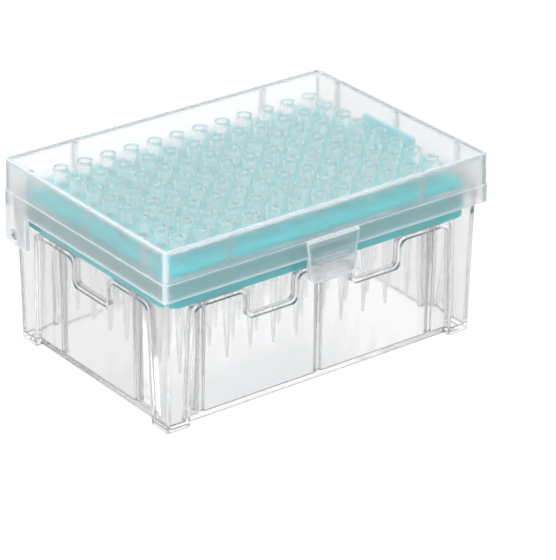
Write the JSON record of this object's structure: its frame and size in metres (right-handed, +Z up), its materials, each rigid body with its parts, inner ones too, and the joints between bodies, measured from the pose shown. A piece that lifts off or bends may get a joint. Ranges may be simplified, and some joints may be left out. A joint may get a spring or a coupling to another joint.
{
  "type": "pipette tip box",
  "caption": "Clear plastic box of filter pipette tips: hinged lid with a front latch tab, recessed-panel base and a coloured tray whose collared holes hold the tips in rows.",
  "frame": {"origin": "centre of the base at the plane of its four feet", "axes": "+Z up, +X along the long side, -Y out of the long front side with the latch, +Y towards the hinge"},
  "size_m": [0.1266, 0.0895, 0.0631],
  "materials": {
    "clear_base": "clear polypropylene, smooth and glossy",
    "clear_lid": "clear polypropylene, very lightly frosted",
    "tray_plastic": "teal polypropylene, satin",
    "tip_plastic": "natural polypropylene, clear and glossy",
    "filter_fibre": "white sintered porous polyethylene"
  },
  "bodies": {
    "box_body": {"base": "clear_base", "tray": "tray_plastic", "tips_column_01": "tip_plastic", "tips_column_02": "tip_plastic", "tips_column_03": "tip_plastic", "tips_column_04": "tip_plastic", "tips_column_05": "tip_plastic", "tips_column_06": "tip_plastic", "tips_column_07": "tip_plastic", "tips_column_08": "tip_plastic", "tips_column_09": "tip_plastic", "tips_column_10": "tip_plastic", "tips_column_11": "tip_plastic", "tips_column_12": "tip_plastic", "filters_column_01": "filter_fibre", "filters_column_02": "filter_fibre", "filters_column_03": "filter_fibre", "filters_column_04": "filter_fibre", "filters_column_05": "filter_fibre", "filters_column_06": "filter_fibre", "filters_column_07": "filter_fibre", "filters_column_08": "filter_fibre", "filters_column_09": "filter_fibre", "filters_column_10": "filter_fibre", "filters_column_11": "filter_fibre", "filters_column_12": "filter_fibre"},
    "lid_body": {"lid": "clear_lid"}
  },
  "joints": [
    {"name": "lid_hinge", "type": "hinge", "parent": "box_body", "child": "lid_body", "pos_m": [0, 0.0387, 0.0382], "axis": [-1, 0, 0], "range_deg": [0, 130]}
  ]
}
